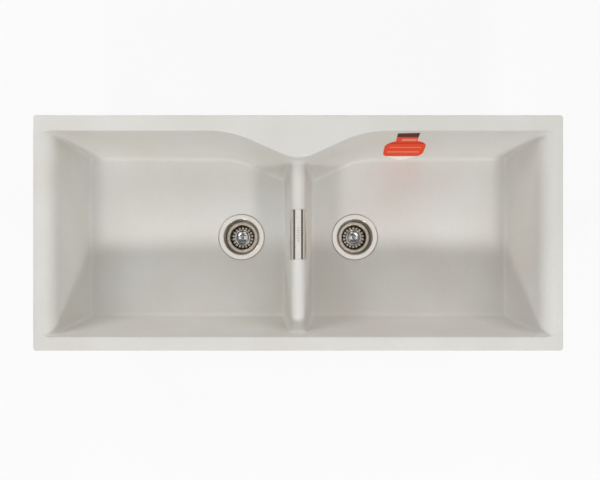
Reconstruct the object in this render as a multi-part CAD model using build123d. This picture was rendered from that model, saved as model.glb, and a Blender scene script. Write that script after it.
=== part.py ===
from build123d import *
import os
from math import cos, radians, sin, sqrt, tan

# Double-bowl kitchen sink in granite composite, with two basket wastes, a divider overflow
# and worktop clamps. Millimetres. The origin is the middle of the rim's underside, which
# lies on the worktop. +X runs right along the sink, +Y back to the tap ledge and +Z up.

# Rim
LENGTH = 1143.0
DEPTH = 508.0
RIM_THICKNESS = 10.0
RIM_CORNER_R = 6.0
RIM_EDGE_R = 3.0
OPENING_EDGE_R = 3.0
BACK_RIM = 34.0
FRONT_RIM = 30.0
END_LAND = 10.0
END_ROLL_R = 33.0
END_ROLL_LEAD = 8.0
END_ROLL_DROP = 0.8
END_OVERHANG = 25.0

# Bowls
BOWL_DEPTH = 205.0
FLOOR_FALL = 1.2
LONG_WALL_DRAFT = 8.0
END_WALL_DRAFT = 5.3
FLOOR_R = 9.0
OUTER_FLOOR_R = 12.0
CORNER_MORE = 0.5
WALL = 9.0
FLOOR_THICKNESS = 12.0
DRAIN_X = 140.0
DRAIN_PAD_BORDER = 5.0

# Tap ledge
LEDGE_DEPTH = 91.0
LEDGE_NOSE_R = 88.0
LEDGE_SWEEP_R = 230.0
LEDGE_FLANK = 24.5

# Divider
DIVIDER_DROP = 32.0
DIVIDER_WIDTH = 31.0
DIVIDER_DRAFT = 6.2

# Strainer cup
FLANGE_WIDTH = 11.5
FLANGE_THICKNESS = 1.5
FLANGE_PROUD = 0.5
FLANGE_SEAL = 1.5
FLANGE_SEAL_WIDTH = 9.0
RECESS_GAP = 1.5
DRAIN_GAP = 0.5
MOUTH_FLARE = 4.0
MOUTH_FALL = 9.0
CUP_R = 40.5
CUP_LEDGE = 27.0
LEDGE_WIDTH = 6.5
CUP_DEPTH = 52.0
CUP_SHEET = 1.2
OUTLET_HOLE_R = 6.5
OUTLET_HOLES = 8

# Waste housing
WASTE_SEAL = 3.0
WASTE_FLANGE_WIDTH = 13.0
WASTE_FLANGE = 5.0
WASTE_GAP = 1.8
WASTE_WALL = 3.5
WASTE_FALL = 12.0
OUTLET_R = 23.9
OUTLET_WALL = 3.9
OUTLET_LENGTH = 26.0
BOSS_WALL = 3.5
BOSS_LENGTH = 20.0
SPOKE_WIDTH = 4.0
SPOKE_HEIGHT = 8.0
SPOKES = 4
INLET_SETDOWN = 5.0
INLET_WALL = 3.0
INLET_LENGTH = 18.0

# Centre screw and its brass insert
SCREW_R = 5.0
SCREW_LENGTH = 20.0
SCREW_HEAD_BORDER = 4.0
SCREW_HEAD = 2.4
SCREW_SLOT = 2.0
SCREW_CLEARANCE = 0.2
INSERT_WALL = 2.5
INSERT_LENGTH = 15.0
THREAD_CLEARANCE = 0.05
SEAT_GAP = 0.3

# Lift-out basket
BASKET_GAP = 2.5
BASKET_WALL_GAP = 3.0
BASKET_TAPER = 4.0
BASKET_DEPTH = 17.4
BASKET_SHEET = 1.0
BASKET_SLOTS = 18
SLOT_WIDTH = 3.4
SLOT_LENGTH = 9.5
SLOT_OVERLAP = 2.5
SLOT_RISE = 6.0
STEM_R = 3.0
STEM_REACH = 22.0
STEM_GRIP = 5.0
STEM_COLLAR_R = 6.0
STEM_COLLAR = 1.8
STOPPER_GAP = 3.5
STOPPER_HUB_BORDER = 3.0
STOPPER_SHEET = 2.5
KNOB_R = 20.5
KNOB_HEIGHT = 15.0
KNOB_BRIM = 8.5
KNOB_GROOVE = 10.5
KNOB_RING = 12.5
KNOB_RING_WIDTH = 4.0
KNOB_FOOT_R = 11.0
KNOB_NECK_R = 8.5
KNOB_EDGE_R = 0.8
KNOB_DIMPLE_R = 5.5
KNOB_DIMPLE = 3.2
CLIP_HEIGHT = 1.2
CLIP_DEPTH = 0.7
CLIP_ARC = 300.0

# Overflow
OVERFLOW_LENGTH = 70.0
OVERFLOW_HEIGHT = 10.0
OVERFLOW_FALL = 3.0
COVER_LENGTH = 110.0
COVER_STANDOFF = 1.2
COVER_SHEET = 0.8
COVER_LAP = 2.0
COVER_HOOK_BITE = 2.0
COVER_HOOK_WIDTH = 10.0
COVER_HOOK_INSET = 11.0
COVER_SLITS = 6
COVER_SLIT_LENGTH = 6.0
COVER_SLIT_WIDTH = 1.6
COVER_SLIT_PITCH = 5.6
GASKET = 1.5
GASKET_BORDER = 3.0
COLLECTOR_BORDER = 10.0
COLLECTOR_HEIGHT = 50.0
COLLECTOR_WALL = 1.8
LUG_GAP = 3.0
LUG_DROP = 8.0
LUG_SCREW_R = 1.8
LUG_SCREW_HEAD_R = 3.0
LUG_SCREW_BITE = 5.0
SPIGOT_WALL = 1.4
SPIGOT_LENGTH = 25.0
PIPE_GAP = 3.3
PIPE_WALL = 1.6
PIPE_BEND_R = 30.0
PIPE_INSERTION = 11.0
PIPE_SEAL = 7.0
PIPE_SEAL_WALL = 2.1
SLIP = 0.1
UNION_LENGTH = 14.0
UNION_WALL = 4.0
UNION_END = 2.5
UNION_GRIPS = 10
UNION_GRIP_R = 2.0

# Rim seal and worktop clamps
CUTOUT_LAND = 11.0
SEAL_WIDTH = 6.0
SEAL_HEIGHT = 2.0
SEAL_GAP = 0.3
CLAMP_SETBACK = 171.5
CLAMP_INSERT_WALL = 1.5
CLAMP_INSERT_SKIN = 3.0
STUD_R = 3.0
STUD_TAIL = 12.9
ARM_DROP = 54.0
ARM_SHEET = 2.5
ARM_WIDTH = 14.0
ARM_LENGTH = 50.0
ARM_TIP = 12.0
WASHER_BORDER = 3.5
WASHER_SHEET = 1.6
NUT_FLATS = 10.0
NUT_HEIGHT = 5.0
BORE_CLEARANCE = 0.3

# Plain label on the right bowl's back wall
LABEL_WIDTH = 95.0
LABEL_TOP = 15.0
LABEL_FOOT = 6.0
LABEL_SHEET = 0.3
LABEL_CORNER_R = 46.0
LABEL_TAB_WIDTH = 48.0
LABEL_TAB = 47.0
LABEL_TILT = 4.0

# Levels and places of the sink
RIM_TOP = RIM_THICKNESS
FLOOR_Z = RIM_TOP - BOWL_DEPTH
UNDER_Z = FLOOR_Z - FLOOR_THICKNESS
DRAIN_Y = (FRONT_RIM - BACK_RIM) / 2
BACK_Y = DEPTH / 2 - BACK_RIM
FRONT_Y = FRONT_RIM - DEPTH / 2
CREST_R = DIVIDER_WIDTH / 2
CREST_TOP = RIM_TOP - DIVIDER_DROP
CREST_Z = CREST_TOP - CREST_R
HOLLOW_R = CREST_R - WALL
LEDGE_ARCS_R = LEDGE_NOSE_R + LEDGE_SWEEP_R
LEDGE_RISE = LEDGE_DEPTH - BACK_RIM - LEDGE_ARCS_R * (1 - cos(radians(LEDGE_FLANK)))
LEDGE_X = LEDGE_ARCS_R * sin(radians(LEDGE_FLANK)) + LEDGE_RISE / tan(radians(LEDGE_FLANK))

# Radii of the wastes, and heights below the strainer flange
MOUTH_R = CUP_R + MOUTH_FLARE
DRAIN_R = MOUTH_R + DRAIN_GAP
FLANGE_R = MOUTH_R + FLANGE_WIDTH
RECESS_R = FLANGE_R + RECESS_GAP
FLANGE_Z = FLOOR_Z + RECESS_R * tan(radians(FLOOR_FALL)) + FLANGE_PROUD
SUMP_R = CUP_R - LEDGE_WIDTH
CUP_UNDER = -CUP_DEPTH - CUP_SHEET
SCREW_HEAD_R = SCREW_R + SCREW_HEAD_BORDER
OUTLET_RING_R = (SCREW_HEAD_R + SUMP_R) / 2
PAD = UNDER_Z - FLANGE_Z
WASTE_FLANGE_R = DRAIN_R + WASTE_FLANGE_WIDTH
DRAIN_PAD_R = WASTE_FLANGE_R + DRAIN_PAD_BORDER
WASTE_R = CUP_R + CUP_SHEET + WASTE_GAP
WASTE_TOP = PAD - WASTE_SEAL
WASTE_FLOOR = CUP_UNDER - SPOKE_HEIGHT - 2 * SEAT_GAP
OUTLET_TOP = WASTE_FLOOR - WASTE_FALL
OUTLET_END = OUTLET_TOP - OUTLET_LENGTH
INSERT_R = SCREW_R + INSERT_WALL
BOSS_R = INSERT_R + BOSS_WALL
BOSS_TOP = CUP_UNDER - SEAT_GAP
BASKET_R = CUP_R - BASKET_GAP
BASKET_LIP_R = SUMP_R - BASKET_WALL_GAP
BASKET_FLOOR_R = BASKET_LIP_R - BASKET_TAPER
SLOT_OUT_R = BASKET_FLOOR_R + SLOT_OVERLAP
LIP_TOP = SEAT_GAP + BASKET_SHEET - CUP_LEDGE
BASKET_FLOOR = LIP_TOP - BASKET_DEPTH
COLLAR_TOP = BASKET_FLOOR - BASKET_SHEET
STOPPER_TOP = COLLAR_TOP - STEM_COLLAR
STOPPER_FOOT = SEAT_GAP - CUP_DEPTH
STOPPER_R = SUMP_R - STOPPER_GAP
STOPPER_HUB_R = SCREW_HEAD_R + STOPPER_HUB_BORDER
STEM_END = COLLAR_TOP - STEM_REACH
CLIP_Z = STEM_END + 2 * CLIP_HEIGHT
KNOB_DOME_R = KNOB_R - KNOB_RING_WIDTH
TOOL_OVER = 20.0
TOOL_FAR = LENGTH
SAME = 0.001


def hollow_half(z):
    """Half the width of the hollow under the divider at a height."""
    return HOLLOW_R / cos(radians(DIVIDER_DRAFT)) + (CREST_Z - z) * tan(radians(DIVIDER_DRAFT))


# Levels and places of the overflow
OVERFLOW_TOP = CREST_Z - OVERFLOW_FALL
OVERFLOW_FOOT = OVERFLOW_TOP - OVERFLOW_HEIGHT
COVER_R = CREST_R + COVER_STANDOFF
COLLECTOR_LENGTH = OVERFLOW_LENGTH + 2 * COLLECTOR_BORDER
COLLECTOR_TOP = OVERFLOW_TOP + GASKET_BORDER
COLLECTOR_FOOT = COLLECTOR_TOP - COLLECTOR_HEIGHT
LUG_R = HOLLOW_R - LUG_GAP
LUG_Y = COLLECTOR_LENGTH / 2 + LUG_SCREW_HEAD_R + SCREW_CLEARANCE
LUG_FOOT = COLLECTOR_TOP - LUG_DROP
LUG_TOP = CREST_Z + sqrt(HOLLOW_R**2 - LUG_R**2) - SEAT_GAP
PIPE_TOP = COLLECTOR_FOOT - GASKET
PIPE_R = hollow_half(PIPE_TOP) - PIPE_GAP
PIPE_BORE_R = PIPE_R - PIPE_WALL
SPIGOT_R = PIPE_BORE_R - SLIP
SPIGOT_BORE_R = SPIGOT_R - SPIGOT_WALL
INLET_BORE_R = PIPE_R + PIPE_SEAL_WALL + 2 * SLIP
INLET_R = INLET_BORE_R + INLET_WALL
INLET_DROP = WASTE_FLANGE - WASTE_TOP + INLET_R + INLET_SETDOWN
INLET_END = WASTE_R + WASTE_WALL + INLET_LENGTH
INLET_Z = FLANGE_Z - INLET_DROP

# Levels and places of the clamps
CUTOUT_Y = DEPTH / 2 - CUTOUT_LAND
BACK_STUD_Y = (BACK_Y + WALL + CUTOUT_Y) / 2
FRONT_STUD_Y = (FRONT_Y - WALL - CUTOUT_Y) / 2
CLAMP_X = LENGTH / 2 - CLAMP_SETBACK
CLAMP_INSERT_R = STUD_R + CLAMP_INSERT_WALL
CLAMP_INSERT = RIM_THICKNESS - CLAMP_INSERT_SKIN
ARM_TOP = -ARM_DROP
WASHER_TOP = ARM_TOP - ARM_SHEET
NUT_TOP = WASHER_TOP - WASHER_SHEET
STUD_END = NUT_TOP - NUT_HEIGHT - STUD_TAIL
LABEL_X = LEDGE_X + LABEL_WIDTH / 2


def turned(*points, radius=0):
    """Body turned about Z from a closed outline of radius and height."""
    return revolve(Plane.XZ * make_face(FilletPolyline(*points, radius=radius, close=True)), Axis.Z)


def ring(inner, outer, low, high):
    """Plain ring between two heights."""
    return turned((inner, low), (outer, low), (outer, high), (inner, high))


def rod(radius, low, high):
    """Plain round bar between two heights."""
    return Pos(0, 0, (low + high) / 2) * Cylinder(radius, high - low)


def opening_plan(grow):
    """Plan of the opening: straight front, and a back edge swept forward round the tap ledge."""
    nose_y = DEPTH / 2 - LEDGE_DEPTH + LEDGE_NOSE_R
    sweep_y = BACK_Y - LEDGE_SWEEP_R
    nose_r = LEDGE_NOSE_R - grow
    sweep_r = LEDGE_SWEEP_R + grow
    back = BACK_Y + grow
    front = FRONT_Y - grow
    right_sweep = CenterArc((LEDGE_X, sweep_y), sweep_r, 90, LEDGE_FLANK)
    nose = CenterArc((0, nose_y), nose_r, LEDGE_FLANK - 90, -2 * LEDGE_FLANK)
    left_sweep = CenterArc((-LEDGE_X, sweep_y), sweep_r, 90 - LEDGE_FLANK, LEDGE_FLANK)
    start = Polyline(left_sweep @ 1, (-TOOL_FAR, back), (-TOOL_FAR, front))
    end = Polyline((-TOOL_FAR, front), (TOOL_FAR, front), (TOOL_FAR, back), right_sweep @ 0)
    flanks = [Line(right_sweep @ 1, nose @ 0), Line(nose @ 1, left_sweep @ 0)]
    return make_face([*start.edges(), *end.edges(), right_sweep, nose, left_sweep, *flanks])


def long_walls(grow, top, bottom):
    """Solid between the drafted front and back walls, moved outward by grow."""
    spread = (top - RIM_TOP) * tan(radians(LONG_WALL_DRAFT))
    block = extrude(opening_plan(grow + spread), amount=top - bottom, taper=LONG_WALL_DRAFT)
    return Pos(0, 0, top) * mirror(block, about=Plane.XY)


def end_roll():
    """Rolled edge of the right end, from its lead on the rim to the end wall."""
    lead = radians(END_ROLL_LEAD)
    roll_x = LENGTH / 2 - END_LAND - END_ROLL_DROP / tan(lead) + END_ROLL_R * sin(lead)
    roll_z = RIM_TOP - END_ROLL_DROP - END_ROLL_R * cos(lead)
    sweep_angle = 90 - END_ROLL_LEAD - END_WALL_DRAFT
    return CenterArc((roll_x, roll_z), END_ROLL_R, 90 + END_ROLL_LEAD, sweep_angle)


def end_wall_x(z):
    """Inner face of the right end wall at a height."""
    foot = end_roll() @ 1
    return foot.X - (foot.Y - z) * tan(radians(END_WALL_DRAFT))


def inner_section(top, bottom):
    """Section along the bowls: rolled end edges, end walls and the round-topped divider."""
    roll = end_roll()
    crest = CenterArc((0, CREST_Z), CREST_R, DIVIDER_DRAFT, 180 - 2 * DIVIDER_DRAFT)
    edge = roll @ 0
    side = crest @ 0
    top_x = edge.X + (top - edge.Y) / tan(radians(END_ROLL_LEAD))
    divider_x = side.X + (side.Y - bottom) * tan(radians(DIVIDER_DRAFT))
    over = Polyline(edge, (top_x, top), (-top_x, top), (-edge.X, edge.Y))
    right = Polyline(roll @ 1, (end_wall_x(bottom), bottom), (divider_x, bottom), side)
    left = mirror(right, about=Plane.YZ)
    outline = [*over.edges(), *right.edges(), *left.edges(), roll, mirror(roll, about=Plane.YZ), crest]
    return Plane.XZ * make_face(outline)


def outer_section(top, bottom):
    """Section along the outside of both tubs, with the hollow between them."""
    arch = CenterArc((0, CREST_Z), HOLLOW_R, DIVIDER_DRAFT, 180 - 2 * DIVIDER_DRAFT)
    side = arch @ 0
    high_x = LENGTH / 2 - END_OVERHANG
    low_x = end_wall_x(FLOOR_Z) + WALL
    slope = (high_x - low_x) / -FLOOR_Z
    right = Polyline(
        (high_x + top * slope, top),
        (high_x + bottom * slope, bottom),
        (hollow_half(bottom), bottom),
        side,
    )
    left = mirror(right, about=Plane.YZ)
    return Plane.XZ * make_face([*right.edges(), *left.edges(), arch, Line(right @ 0, left @ 0)])


def under_floors(level):
    """Everything under the two shallow cones that fall to the drains."""
    rise = TOOL_FAR * tan(radians(FLOOR_FALL))
    deep = level - BOWL_DEPTH
    cone = turned((0, level), (TOOL_FAR, level + rise), (TOOL_FAR, deep), (0, deep))
    half = Pos(-TOOL_FAR, 0, 0) * Box(2 * TOOL_FAR, 4 * TOOL_FAR, 4 * TOOL_FAR)
    left = (Pos(-DRAIN_X, DRAIN_Y, 0) * cone) & half
    return left + mirror(left, about=Plane.YZ)


def faces_across(solid, top):
    """Faces of the end walls, rolled edges and divider, which run level along Y."""
    found = []
    for face in solid.faces():
        level = abs(face.normal_at().Y) < SAME
        if level and face.geom_type != GeomType.CONE and face.center().Z < top - SAME:
            found.append(face)
    return found


def faces_along(solid):
    """Drafted faces of the front and back walls and of the tap ledge."""
    return [face for face in solid.faces() if abs(face.normal_at().Y) > cos(radians(2 * LEDGE_FLANK))]


def floor_edges(solid):
    """Edges round the two sloping floors."""
    floors = [face for face in solid.faces() if abs(face.normal_at().Z) > cos(radians(2 * FLOOR_FALL))]
    return [edge for face in floors if face.geom_type == GeomType.CONE for edge in face.edges()]


def shared_edges(some, others):
    """Edges that a face of one list has in common with a face of the other."""
    candidates = [edge for face in others for edge in face.edges()]
    found = []
    for face in some:
        for edge in face.edges():
            if any(edge.is_same(candidate) for candidate in candidates):
                found.append(edge)
    return found


def tubs(section, grow, top, level, floor_r):
    """Both bowls as one block, rounded in its upright corners and round its floors."""
    bottom = level - TOOL_OVER
    across = extrude(section(top, bottom), amount=DEPTH, both=True)
    block = (long_walls(grow, top, bottom) & across) - under_floors(level)
    block = fillet(shared_edges(faces_along(block), faces_across(block, top)), floor_r + CORNER_MORE)
    return fillet(floor_edges(block), floor_r)


def bowl_space():
    """Room of both bowls, up through the opening in the rim."""
    return tubs(inner_section, 0, RIM_TOP + TOOL_OVER, FLOOR_Z, FLOOR_R)


def sink_shell():
    """Rim and tubs of one wall thickness, with the opening's and the rim's edges rounded."""
    rim = extrude(RectangleRounded(LENGTH, DEPTH, RIM_CORNER_R), amount=RIM_THICKNESS)
    outside = tubs(outer_section, WALL, RIM_TOP / 2, UNDER_Z, OUTER_FLOOR_R)
    shell = rim + outside - bowl_space()
    rim_face = shell.faces().sort_by(Axis.Z)[-1]
    shell = fillet(rim_face.inner_wires()[0].edges(), OPENING_EDGE_R)
    rim_face = shell.faces().sort_by(Axis.Z)[-1]
    return fillet(rim_face.outer_wire().edges(), RIM_EDGE_R)


def rim_ring(width, height):
    """Ring under the rim, midway between the worktop's cut-out and the rim's edge."""
    inset = CUTOUT_LAND
    outer = RectangleRounded(LENGTH - inset + width, DEPTH - inset + width, RIM_CORNER_R)
    inner = RectangleRounded(LENGTH - inset - width, DEPTH - inset - width, RIM_CORNER_R / 2)
    return extrude(outer - inner, amount=height)


def at_drains(piece):
    """A piece placed at both drains, at the height of the strainer flanges."""
    return [Pos(x, DRAIN_Y, FLANGE_Z) * piece for x in (-DRAIN_X, DRAIN_X)]


def at_studs(piece):
    """A piece placed at each of the four clamp studs."""
    return [Pos(x, y, 0) * piece for y in (BACK_STUD_Y, FRONT_STUD_Y) for x in (-CLAMP_X, CLAMP_X)]


def sink_body():
    """Moulded sink with its drain seats, overflow slots, seal groove and clamp holes."""
    body = sink_shell()
    body += at_drains(rod(DRAIN_PAD_R, PAD, PAD + FLOOR_THICKNESS / 2))
    body -= at_drains(rod(RECESS_R, -FLANGE_THICKNESS - FLANGE_SEAL, FLOOR_THICKNESS))
    body -= at_drains(rod(DRAIN_R, 2 * PAD, 0))
    body -= overflow_window()
    screw_tip = CREST_Z + HOLLOW_R + LUG_SCREW_BITE
    body -= at_lugs(rod(LUG_SCREW_R + THREAD_CLEARANCE, CREST_Z, screw_tip))
    body -= at_studs(rod(CLAMP_INSERT_R + THREAD_CLEARANCE, -SAME, CLAMP_INSERT + SEAT_GAP))
    return body - rim_ring(SEAL_WIDTH + 2 * SEAL_GAP, SEAL_HEIGHT)


def rim_seal():
    """Closed-cell strip in the groove under the rim, pressed flush."""
    return rim_ring(SEAL_WIDTH, SEAL_HEIGHT)


def strainer_cup():
    """Pressed steel cup with its wide flange, basket ledge and perforated bottom."""
    bend = CUP_SHEET
    screw_hole_r = SCREW_R + SCREW_CLEARANCE
    cup = turned(
        (FLANGE_R, -FLANGE_THICKNESS),
        (FLANGE_R, 0),
        (MOUTH_R, 0),
        (CUP_R, -MOUTH_FALL),
        (CUP_R, -CUP_LEDGE),
        (SUMP_R, -CUP_LEDGE),
        (SUMP_R, -CUP_DEPTH),
        (screw_hole_r, -CUP_DEPTH),
        (screw_hole_r, CUP_UNDER),
        (SUMP_R + CUP_SHEET, CUP_UNDER),
        (SUMP_R + CUP_SHEET, -CUP_LEDGE - CUP_SHEET),
        (CUP_R + CUP_SHEET, -CUP_LEDGE - CUP_SHEET),
        (CUP_R + CUP_SHEET, -MOUTH_FALL),
        (MOUTH_R + CUP_SHEET / 3, -FLANGE_THICKNESS),
        radius=[0, bend, bend, bend, bend, bend, bend, 0, 0, 2 * bend, 0, 2 * bend, bend, bend],
    )
    return cup - PolarLocations(OUTLET_RING_R, OUTLET_HOLES) * rod(OUTLET_HOLE_R, 2 * CUP_UNDER, -CUP_LEDGE)


def flange_seal():
    """Flat rubber ring between the cup's flange and its seat in the floor."""
    inner = FLANGE_R - FLANGE_SEAL_WIDTH
    return ring(inner, FLANGE_R, -FLANGE_THICKNESS - FLANGE_SEAL, -FLANGE_THICKNESS)


def waste_seal():
    """Rubber ring between the floor's underside and the waste housing."""
    return ring(DRAIN_R, WASTE_FLANGE_R, WASTE_TOP, PAD)


def waste_housing(side):
    """Moulded housing under the floor, with outlet, spoked boss and an inlet toward the divider."""
    outer_r = WASTE_R + WASTE_WALL
    outlet_bore_r = OUTLET_R - OUTLET_WALL
    flange_under = WASTE_TOP - WASTE_FLANGE
    housing = turned(
        (WASTE_R, WASTE_TOP),
        (WASTE_FLANGE_R, WASTE_TOP),
        (WASTE_FLANGE_R, flange_under),
        (outer_r, flange_under),
        (outer_r, WASTE_FLOOR),
        (OUTLET_R, OUTLET_TOP - WASTE_WALL),
        (OUTLET_R, OUTLET_END),
        (outlet_bore_r, OUTLET_END),
        (outlet_bore_r, OUTLET_TOP),
        (WASTE_R, WASTE_FLOOR),
    )
    housing += rod(BOSS_R, BOSS_TOP - BOSS_LENGTH, BOSS_TOP)
    spoke_length = WASTE_R - BOSS_R + WASTE_WALL
    spoke_x = BOSS_R + (spoke_length - WASTE_WALL) / 2
    spoke = Pos(spoke_x, 0, WASTE_FLOOR + SPOKE_HEIGHT / 2) * Box(spoke_length, SPOKE_WIDTH, SPOKE_HEIGHT)
    turn = 180 / SPOKES
    housing += [Rot(0, 0, turn + 360 * i / SPOKES) * spoke for i in range(SPOKES)]
    housing -= rod(INSERT_R + THREAD_CLEARANCE, BOSS_TOP - INSERT_LENGTH, BOSS_TOP)
    housing -= rod(SCREW_R + SCREW_CLEARANCE, BOSS_TOP - 2 * BOSS_LENGTH, BOSS_TOP)
    inlet = Pos(0, 0, -INLET_DROP) * Rot(0, side * 90, 0)
    housing += inlet * rod(INLET_R, WASTE_R + WASTE_WALL / 2, INLET_END)
    return housing - inlet * rod(INLET_BORE_R, CUP_R, 2 * INLET_END)


def waste_insert():
    """Brass thread insert in the housing's boss."""
    return ring(SCREW_R + THREAD_CLEARANCE, INSERT_R, BOSS_TOP - INSERT_LENGTH, BOSS_TOP)


def centre_screw():
    """Hollow screw that draws the cup down to the housing and guides the basket's stem."""
    bore_r = STEM_R + SEAT_GAP
    head_top = SCREW_HEAD - CUP_DEPTH
    tip = -CUP_DEPTH - SCREW_LENGTH
    screw = turned(
        (bore_r, head_top),
        (SCREW_HEAD_R, head_top),
        (SCREW_HEAD_R, -CUP_DEPTH),
        (SCREW_R, -CUP_DEPTH),
        (SCREW_R, tip),
        (0, tip),
        (0, tip + SCREW_SLOT),
        (bore_r, tip + SCREW_SLOT),
    )
    return screw - Pos(0, 0, head_top) * Box(2 * SCREW_HEAD_R, SCREW_SLOT, SCREW_HEAD)


def basket():
    """Pressed steel basket with slots where its wall turns into its floor."""
    lip_under = LIP_TOP - BASKET_SHEET
    floor_under = BASKET_FLOOR - BASKET_SHEET
    hole_r = STEM_R + SLIP
    bend = 2 * BASKET_SHEET
    edge = BASKET_SHEET / 3
    body = turned(
        (BASKET_R, lip_under),
        (BASKET_R, LIP_TOP),
        (BASKET_LIP_R, LIP_TOP),
        (BASKET_FLOOR_R, BASKET_FLOOR),
        (hole_r, BASKET_FLOOR),
        (hole_r, floor_under),
        (BASKET_FLOOR_R + BASKET_SHEET / 2, floor_under),
        (BASKET_LIP_R + BASKET_SHEET, lip_under),
        radius=[edge, edge, bend, bend, 0, 0, bend + BASKET_SHEET, bend - BASKET_SHEET],
    )
    slot = SlotOverall(SLOT_LENGTH, SLOT_WIDTH)
    cutter = Pos(0, 0, floor_under - BASKET_SHEET) * extrude(slot, amount=SLOT_RISE + 2 * BASKET_SHEET)
    return body - PolarLocations(SLOT_OUT_R - SLOT_LENGTH / 2, BASKET_SLOTS) * cutter


def stopper():
    """Rubber skirt under the basket, which closes the cup's outlet holes."""
    hole_r = STEM_R + SLIP
    hub_under = STOPPER_TOP - STOPPER_SHEET
    skirt_in = (STOPPER_HUB_R + STOPPER_R) / 2
    return turned(
        (hole_r, hub_under),
        (hole_r, STOPPER_TOP),
        (STOPPER_HUB_R, STOPPER_TOP),
        (STOPPER_R, STOPPER_FOOT + STOPPER_SHEET),
        (STOPPER_R, STOPPER_FOOT),
        (skirt_in + STOPPER_SHEET, STOPPER_FOOT),
        (STOPPER_HUB_R, hub_under),
    )


def stem():
    """Turned pin that carries knob, basket and stopper, with a groove for its clip."""
    top = BASKET_FLOOR + STEM_GRIP
    groove_r = STEM_R - CLIP_DEPTH
    tip_r = STEM_R / 2
    return turned(
        (0, top),
        (STEM_R, top),
        (STEM_R, COLLAR_TOP),
        (STEM_COLLAR_R, COLLAR_TOP),
        (STEM_COLLAR_R, STOPPER_TOP),
        (STEM_R, STOPPER_TOP),
        (STEM_R, CLIP_Z + CLIP_HEIGHT + SLIP),
        (groove_r, CLIP_Z + CLIP_HEIGHT + SLIP),
        (groove_r, CLIP_Z - SLIP),
        (STEM_R, CLIP_Z - SLIP),
        (STEM_R, STEM_END + tip_r),
        (tip_r, STEM_END),
        (0, STEM_END),
    )


def stem_clip():
    """Open spring ring in the stem's groove, which grips the screw's bore."""
    inner = STEM_R - CLIP_DEPTH + SLIP
    outer = STEM_R + SLIP
    top = CLIP_Z + CLIP_HEIGHT
    section = Polyline((inner, CLIP_Z), (outer, CLIP_Z), (outer, top), (inner, top), close=True)
    return revolve(Plane.XZ * make_face(section), Axis.Z, CLIP_ARC)


def knob():
    """Chromed mushroom knob with a raised grip ring round a shallow dome with a dimple."""
    base = BASKET_FLOOR
    bore_r = STEM_R + SLIP
    bore_top = base + STEM_GRIP + SEAT_GAP
    groove = base + KNOB_GROOVE
    top = base + KNOB_HEIGHT
    ring_r = (KNOB_R + KNOB_DOME_R) / 2
    body = turned(
        (bore_r, base),
        (KNOB_FOOT_R, base),
        (KNOB_NECK_R, base + STEM_GRIP),
        (KNOB_R, base + KNOB_BRIM),
        (KNOB_R, groove),
        (ring_r, base + KNOB_RING),
        (KNOB_DOME_R, groove),
        (0, groove),
        (0, bore_top),
        (bore_r, bore_top),
        radius=[0, KNOB_EDGE_R, KNOB_EDGE_R, KNOB_EDGE_R, KNOB_EDGE_R, KNOB_EDGE_R, 0, 0, 0, 0],
    )
    rise = top - groove
    dome_r = (KNOB_DOME_R**2 + rise**2) / (2 * rise)
    body += Pos(0, 0, top - dome_r) * Sphere(dome_r) & rod(KNOB_DOME_R, groove, top)
    return body - turned((0, top - KNOB_DIMPLE), (KNOB_DIMPLE_R, top), (0, top))


def at_inlet(piece, side):
    """A piece placed on one waste's overflow inlet: side 1 is the left waste and -1 the right."""
    return Pos(-side * DRAIN_X, DRAIN_Y, INLET_Z) * Rot(0, side * 90, 0) * piece


def saddle_half(radius, drop):
    """Half the width of the saddle at a drop under the centre of its arch."""
    return radius / cos(radians(DIVIDER_DRAFT)) + drop * tan(radians(DIVIDER_DRAFT))


def saddle_section(radius, drop):
    """Round top of a radius with sides that follow the divider's draft down to a drop."""
    high_x = radius * cos(radians(DIVIDER_DRAFT))
    high_z = radius * sin(radians(DIVIDER_DRAFT))
    low_x = saddle_half(radius, drop)
    sides = Polyline((-high_x, high_z), (high_x, high_z), (low_x, -drop), (-low_x, -drop), close=True)
    return Circle(radius) + make_face(sides)


def overflow_cover():
    """Sheet steel saddle over the divider, hooked into the overflow slots."""
    arch_z = CREST_TOP + SEAT_GAP - COVER_R
    skirt = arch_z - OVERFLOW_FOOT + COVER_LAP
    outer = saddle_section(COVER_R + COVER_SHEET, skirt)
    inner = saddle_section(COVER_R, 2 * skirt)
    section = Plane.XZ * (outer - inner)
    cover = Pos(0, 0, arch_z) * extrude(section, amount=COVER_LENGTH / 2, both=True)
    hook_z = OVERFLOW_FOOT + COVER_SHEET
    hook_length = COVER_STANDOFF + COVER_HOOK_BITE + COVER_SHEET / 2
    hook = Box(hook_length, COVER_HOOK_WIDTH, COVER_SHEET)
    hook_x = saddle_half(COVER_R, arch_z - hook_z) + (COVER_SHEET - hook_length) / 2
    hook_y = OVERFLOW_LENGTH / 2 - COVER_HOOK_INSET
    cover += [Pos(x, y, hook_z) * hook for x in (-hook_x, hook_x) for y in (-hook_y, hook_y)]
    slit = extrude(SlotOverall(COVER_SLIT_LENGTH, COVER_SLIT_WIDTH), amount=2 * COVER_SHEET, both=True)
    first = -COVER_SLIT_PITCH * (COVER_SLITS - 1) / 2
    cover -= [Pos(0, first + COVER_SLIT_PITCH * i, CREST_TOP) * slit for i in range(COVER_SLITS)]
    return Pos(0, DRAIN_Y, 0) * cover


def hollow_block(gap, high, low, length):
    """Block that follows the hollow's drafted sides at a gap, centred on the overflow."""
    high_x = hollow_half(high) - gap
    low_x = hollow_half(low) - gap
    section = Polyline((-high_x, high), (high_x, high), (low_x, low), (-low_x, low), close=True)
    return Pos(0, DRAIN_Y, 0) * extrude(Plane.XZ * make_face(section), amount=length / 2, both=True)


def overflow_window():
    """The overflow's passage through the divider."""
    middle = OVERFLOW_TOP - OVERFLOW_HEIGHT / 2
    return Pos(0, DRAIN_Y, middle) * Box(2 * DIVIDER_WIDTH, OVERFLOW_LENGTH, OVERFLOW_HEIGHT)


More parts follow.
